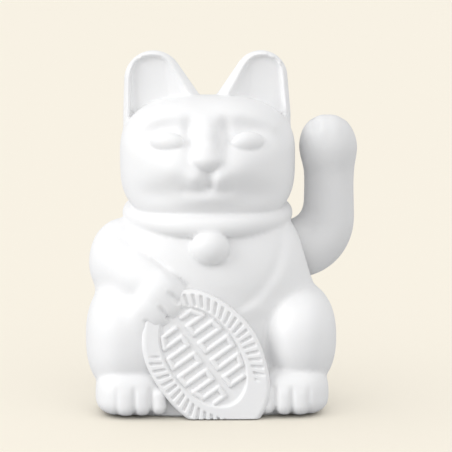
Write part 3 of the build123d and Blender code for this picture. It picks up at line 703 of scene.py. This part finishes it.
def halves(bm):
    """The front and rear halves of a surface, each with a slightly eased edge at the seam."""
    rear = bm.copy()
    for half, way in ((bm, 1), (rear, -1)):
        cut(half, (0, SEAM_Y, 0), (0, way, 0))
        geometry = list(half.verts) + list(half.edges) + list(half.faces)
        beside = (0, SEAM_Y - way * SEAM_EASE, 0)
        bmesh.ops.bisect_plane(half, geom=geometry, plane_co=beside, plane_no=(0, 1, 0), dist=1e-5)
        parting_groove(half)
    return bm, rear


def build_body(material):
    """The body's front and rear mouldings, with the finest faces where the relief is fine."""
    low = (-54.0, -47.0, -5.0)
    high = (57.0, 45.0, 153.0)
    face_zone = ((-29, -50, 88), (29, -20, 129))
    paw_zone = ((-32, -50, 33), (-8, -29, 60))
    toe_zones = [((LOWER_X + x - 14, -50, 1), (LOWER_X + x + 14, -30, 18)) for x in (-34, 34)]
    pocket_zone = ((30, SEAM_Y - 17, PIVOT_Z - 17), (46, SEAM_Y + 17, PIVOT_Z + 17))
    ear_zones = [((x - 19, -9, 116), (x + 19, 2, 153)) for x in (-21, 21)]
    neck_zone = ((-35, -50, 80), (35, -8, 89))
    crease_zone = ((-24, -50, 53), (-7, -20, 68))
    mouth_zone = ((-12, -50, 96), (10, -31, 106))
    slit_zone = ((-29, -50, 37), (-11, -33, 56))
    corner_zones = [((x - 4, -40, 109), (x + 4, -20, 119)) for x in (-10.5, 8.5)]
    bm = surface(body, low, high, BODY_CELL, [
        [face_zone, paw_zone, pocket_zone, neck_zone, crease_zone, *toe_zones, *ear_zones],
        [mouth_zone, slit_zone, *corner_zones],
    ])
    cut(bm, (0, 0, RIM_Z), (0, 0, -1))
    add_sole(bm)
    front, rear = halves(bm)
    shell_piece("front_moulding", front, material, "body", "front_shell", BODY_WALL)
    shell_piece("rear_moulding", rear, material, "body", "rear_shell", BODY_WALL)


def build_arm(material):
    """The waving arm's front and rear mouldings."""
    low = (arm_low.x - 3.0, SEAM_Y - 16.0, PIVOT_Z - 14.0)
    high = (arm_high.x + 3.0, SEAM_Y + 15.0, arm_high.z + 3.0)
    paw_zone = ((38, -20, 108), (66, -2, 128))
    bm = surface(waving_arm, low, high, ARM_CELL, [[paw_zone]])
    cut(bm, (arm_low.x, 0, 0), (-1, 0, 0))
    front, rear = halves(bm)
    for name, half, node in (
        ("arm_front_moulding", front, "arm_front_shell"),
        ("arm_rear_moulding", rear, "arm_rear_shell"),
    ):
        shell_piece(name, half, material, "waving_arm", node, ARM_WALL)


# ---------------------------------------------------------------- the coin
def coin_edge(turn):
    """Half sizes along the coin's axes at this angle; its outline is a little uneven."""
    wobble = 1 + 0.010 * np.sin(3 * turn + 0.6) + 0.008 * np.sin(7 * turn + 1.9)
    return COIN_SHORT * np.cos(turn) * wobble * COIN_INSET, COIN_LONG * np.sin(turn) * wobble * COIN_INSET


def winding_ribs(a, b):
    """A plain ornament of two winding ribs, side by side: 1 on a rib and 0 between."""
    pitch, middle = 4.3, 2.3
    half_a, half_b = COIN_SHORT - 10.2, COIN_LONG - 11.5
    levels = np.arange(-4, 5) * pitch
    best = np.full(a.shape, 99.0)
    for side in (-1, 1):
        shift = 0.25 * pitch * side
        ends = half_a * np.sqrt(np.maximum(0.05, 1 - ((levels + shift) / half_b) ** 2))
        path = []
        for i, level in enumerate(levels):
            pair = [(side * middle, level + shift), (side * max(ends[i], middle + 1.5), level + shift)]
            path += pair if i % 2 else pair[::-1]
        best = np.minimum(best, line_gap(a, b, path))
    return np.sqrt(np.clip(1 - (best / RIB_R) ** 2, 0, 1))


def coin_height(turn, part, arc):
    """Where a ring of the coin's face lies: its two places in plan, and its height."""
    edge_a, edge_b = coin_edge(turn)
    a, b = part * edge_a, part * edge_b
    gap = (1 - part) * np.hypot(edge_a, edge_b)
    height = -EDGE_DROP * (1 - np.sqrt(np.clip(1 - (1 - np.clip(gap / 2.4, 0, 1)) ** 2, 0, 1)))
    right = ramp((b + 20.0) / 4.0) * ramp((31.0 - b) / 3.0)
    left = ramp((b + 26.0) / 4.0) * ramp((16.0 - b) / 4.0)
    sides = np.where(a > 0, right, left)
    notch = ramp((np.sin(2 * math.pi * arc / NOTCH_PITCH) + 0.1) / 0.8) * ramp((gap - 1.3) / 1.2)
    height -= NOTCH_DEPTH * notch * ramp((7.4 - gap) / 1.2) * sides
    field = 1 - np.hypot(a / (COIN_SHORT - 7.9), (b - COIN_FIELD_B) / (COIN_LONG - 9.6))
    sunk = ramp(field * 14.0)
    height -= FIELD_DEPTH * sunk
    height += RIB_HEIGHT * winding_ribs(a, b - COIN_FIELD_B) * sunk
    return a, b, height


def build_coin(material):
    """The big oval coin: notched rim, sunk field and a plain ornament of winding ribs."""
    spokes, rings = 560, 96
    turn = 2 * math.pi * np.arange(spokes) / spokes
    edge_a, edge_b = coin_edge(turn)
    steps = np.hypot(np.diff(edge_a, append=edge_a[0]), np.diff(edge_b, append=edge_b[0]))
    arc = np.concatenate([[0.0], np.cumsum(steps)[:-1]])
    arc *= NOTCH_PITCH * round(steps.sum() / NOTCH_PITCH) / steps.sum()
    t, lean = math.radians(COIN_TURN), math.radians(COIN_LEAN)
    tip = Matrix.Rotation(-lean, 3, "X")
    short = np.array(tip @ Vector((math.cos(t), 0, math.sin(t))))
    long = np.array(tip @ Vector((-math.sin(t), 0, math.cos(t))))
    out = np.array(tip @ Vector((0, -1, 0)))
    rows = []
    for ring in range(rings, 0, -1):
        part = ring / rings
        a, b, height = coin_height(turn, np.full(spokes, part), arc)
        rows.append(np.array(COIN_CENTRE) + a[:, None] * short + b[:, None] * long + height[:, None] * out)
    side = [rows[0] - out * depth for depth in (11.0, 3.0, 1.2)]
    points = np.concatenate(side + rows)
    bm = bmesh.new()
    verts = [bm.verts.new(spot) for spot in points]
    levels = len(side) + len(rows)
    for level in range(levels - 1):
        for i in range(spokes):
            j = (i + 1) % spokes
            low_row, high_row = level * spokes, (level + 1) * spokes
            bm.faces.new((verts[low_row + i], verts[low_row + j], verts[high_row + j], verts[high_row + i]))
    bm.faces.new([verts[(levels - 1) * spokes + i] for i in range(spokes)])
    bm.faces.new([verts[i] for i in reversed(range(spokes))])
    geometry = list(bm.verts) + list(bm.edges) + list(bm.faces)
    lowest = (0, 0, RIM_Z - 0.4)
    bmesh.ops.bisect_plane(bm, geom=geometry, plane_co=lowest, plane_no=(0, 0, -1), clear_outer=True)
    bmesh.ops.holes_fill(bm, edges=[edge for edge in bm.edges if edge.is_boundary])
    bmesh.ops.recalc_face_normals(bm, faces=bm.faces)
    shell_piece("coin", bm, material, "body", "front_shell", 0)


# ---------------------------------------------------------------- carried-over nodes
def finish_inside():
    """Materials for the pieces that the CAD model already shapes."""
    off_white = varied("base_plastic", (0.80, 0.80, 0.78), (0.74, 0.74, 0.72), 0.5, grain=1800.0)
    steel = varied("bright_steel", (0.62, 0.62, 0.63), (0.52, 0.52, 0.53), 0.32, 1.0, patch=200.0,
                   grain=900.0, stretch=(1, 8, 8))
    dark_steel = varied("weight_steel", (0.36, 0.36, 0.37), (0.28, 0.28, 0.28), 0.45, 1.0, patch=160.0)
    nickel = varied("magnet_nickel", (0.66, 0.65, 0.63), (0.58, 0.57, 0.55), 0.18, 1.0, patch=120.0)
    frame_plastic = varied("frame_plastic", (0.78, 0.78, 0.73), (0.72, 0.72, 0.67), 0.42)
    lever = varied("lever_plastic", (0.80, 0.79, 0.74), (0.73, 0.72, 0.68), 0.42)
    laminate = varied("board_laminate", (0.38, 0.24, 0.09), (0.46, 0.31, 0.13), 0.4, patch=300.0)
    resin = varied("chip_resin", (0.02, 0.02, 0.02), (0.035, 0.035, 0.035), 0.22, patch=250.0)
    sleeve = varied("capacitor_sleeve", (0.03, 0.04, 0.09), (0.04, 0.05, 0.12), 0.25, patch=250.0)
    carbon = varied("resistor_body", (0.66, 0.52, 0.34), (0.58, 0.44, 0.27), 0.4, patch=400.0)
    bobbin = varied("bobbin_plastic", (0.82, 0.81, 0.76), (0.76, 0.75, 0.70), 0.45)
    copper = varied("winding_copper", (0.70, 0.30, 0.12), (0.78, 0.38, 0.18), 0.3, 1.0, patch=90.0,
                    grain=3000.0, stretch=(0.05, 0.05, 1), strength=0.8, grain_depth=0.0001)
    black = varied("switch_plastic", (0.05, 0.05, 0.05), (0.07, 0.07, 0.07), 0.5)
    wrap = varied("cell_wrap", (0.05, 0.14, 0.24), (0.07, 0.18, 0.29), 0.22, patch=90.0)
    finishes = {
        off_white: ["base_plate", "battery_door"],
        steel: ["base_screws", "board_screws", "frame_screws", "negative_spring", "positive_contact",
                "pivot_shaft", "shaft_clips"],
        dark_steel: ["balance_weight"],
        nickel: ["drive_magnet"],
        frame_plastic: ["mechanism_frame"],
        lever: ["pendulum_lever", "arm_hub"],
        laminate: ["circuit_board"],
        resin: ["driver_chip"],
        sleeve: ["capacitor"],
        carbon: ["resistors"],
        bobbin: ["coil_bobbin"],
        copper: ["drive_coil"],
        black: ["switch_body", "switch_knob"],
        wrap: ["battery"],
        varied("lead_red", (0.50, 0.03, 0.03), (0.60, 0.05, 0.04), 0.45): ["lead_positive"],
        varied("lead_black", (0.03, 0.03, 0.03), (0.05, 0.05, 0.05), 0.45): ["lead_negative"],
        varied("lead_yellow", (0.72, 0.52, 0.05), (0.80, 0.60, 0.08), 0.45): ["lead_switch"],
    }
    for material, nodes in finishes.items():
        for node in nodes:
            paint(node, material)


# ---------------------------------------------------------------- stage, light and camera
def stage():
    """A wide pale floor, cream to look at and neutral in the light that it throws back."""
    bm = bmesh.new()
    bmesh.ops.create_grid(bm, x_segments=12, y_segments=12, size=14.0)
    mesh = bpy.data.meshes.new("stage_floor")
    bm.to_mesh(mesh)
    bm.free()
    floor = bpy.data.objects.new("stage_floor", mesh)
    bpy.context.scene.collection.objects.link(floor)
    cream = (0.980, 0.923, 0.804)
    paper, shader = new_material("stage_paper", cream, 0.95)
    seen = paper.node_tree.nodes.new("ShaderNodeLightPath").outputs["Is Camera Ray"]
    paper.node_tree.links.new(tint(paper, seen, (0.60, 0.60, 0.60), cream), shader.inputs["Base Color"])
    shader.inputs["Specular IOR Level"].default_value = 0.1
    mesh.materials.append(paper)
    return floor


def soft_sun(name, towards, strength, spread_degrees):
    """A very wide lamp, far away in this direction, like a big soft box."""
    light = bpy.data.lights.new(name, "SUN")
    light.energy = strength
    light.angle = math.radians(spread_degrees)
    lamp = bpy.data.objects.new(name, light)
    lamp.rotation_euler = Vector(towards).to_track_quat("Z", "Y").to_euler()
    bpy.context.scene.collection.objects.link(lamp)
    return lamp


def light_group(name, floor, state):
    """What a lamp shines on: INCLUDE for the floor alone, EXCLUDE for all but the floor."""
    group = bpy.data.collections.new(name)
    group.objects.link(floor)
    group.collection_objects[0].light_linking.link_state = state
    return group


def lighting(floor):
    """Soft lamps on both sides and in front for the cat, one overhead for the floor, and an even surround."""
    world = bpy.data.worlds.new("surround")
    world.use_nodes = True
    world.node_tree.nodes["Background"].inputs["Color"].default_value = (1.0, 1.0, 1.0, 1)
    world.node_tree.nodes["Background"].inputs["Strength"].default_value = 0.65
    bpy.context.scene.world = world
    cat_only = light_group("cat_only", floor, "EXCLUDE")
    for name, towards, strength, angle in (
        ("key", (-0.85, -0.34, 0.42), 1.55, 40.0),
        ("front", (-0.14, -0.66, 0.70), 0.34, 60.0),
        ("fill", (0.78, -0.42, 0.40), 0.80, 120.0),
    ):
        soft_sun(name, towards, strength, angle).light_linking.receiver_collection = cat_only
    overhead = soft_sun("overhead", (0.0, -0.20, 0.98), 1.02, 140.0)
    overhead.light_linking.receiver_collection = light_group("floor_only", floor, "INCLUDE")


def camera():
    """A long lens at the figurine's chest height, a little to its left."""
    lens = bpy.data.cameras.new("camera")
    distance = 0.9
    azimuth, elevation = math.radians(-2.0), math.radians(7.0)
    target = Vector((0.0072, -0.02, 0.0780))
    way = Vector((math.sin(azimuth) * math.cos(elevation), -math.cos(azimuth) * math.cos(elevation),
                  math.sin(elevation)))
    camera_object = bpy.data.objects.new("camera", lens)
    camera_object.location = target + way * distance
    camera_object.rotation_euler = (-way).to_track_quat("-Z", "Y").to_euler()
    view_width = 0.1885
    lens.sensor_width = 36.0
    lens.lens = 36.0 * distance / view_width
    lens.clip_start = 0.05
    bpy.context.scene.collection.objects.link(camera_object)
    bpy.context.scene.camera = camera_object


white = white_moulding("white_moulding", (0.86, 0.86, 0.86), (0.84, 0.84, 0.845))
build_body(white)
build_coin(white)
# The raised arm is the same white plastic as the body; its greyer colour is painted shade that darkens the
# whole arm.
build_arm(white_moulding("arm_moulding_painted_shade", (0.78, 0.78, 0.78), (0.75, 0.75, 0.755)))
finish_inside()
lighting(stage())
camera()
bpy.context.scene.view_settings.view_transform = "Standard"
